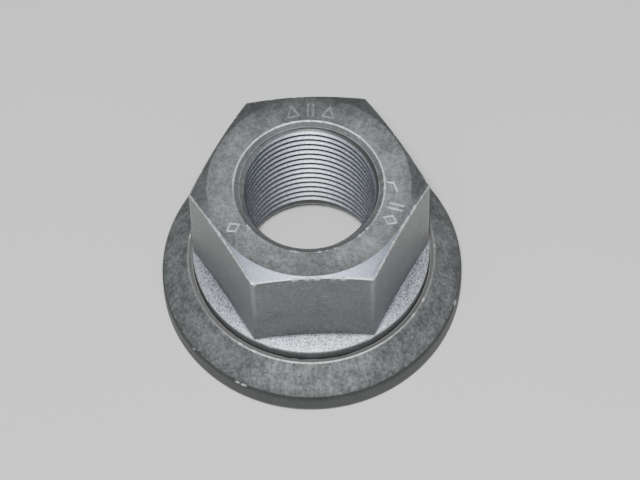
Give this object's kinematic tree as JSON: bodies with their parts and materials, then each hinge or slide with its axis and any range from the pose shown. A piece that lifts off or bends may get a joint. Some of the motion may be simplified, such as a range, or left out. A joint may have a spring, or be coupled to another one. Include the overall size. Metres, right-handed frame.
{
  "type": "hex wheel nut",
  "caption": "Hex wheel nut with a fine right-hand thread, a round shoulder and a captive conical pressure washer that turns freely on its flared neck.",
  "frame": {"origin": "centre of the washer's underside, on the thread axis", "axes": "+Z along the thread axis out of the nut's top face; the hexagon's corners lie on +X and -X, so two of its flats face +Y and -Y at rest"},
  "size_m": [0.0488, 0.0488, 0.0302],
  "materials": {
    "phosphated_steel": "dark grey phosphated, satin, fine turning marks on the top face",
    "oiled_dark_steel": "dark grey phosphated and oiled, satin, slightly mottled"
  },
  "bodies": {
    "washer": {"pressure_washer": "oiled_dark_steel"},
    "nut": {"hex_nut": "phosphated_steel"}
  },
  "joints": [
    {"name": "nut_spin", "type": "hinge", "parent": "washer", "child": "nut", "pos_m": [0, 0, 0], "axis": [0, 0, 1], "continuous": true}
  ]
}
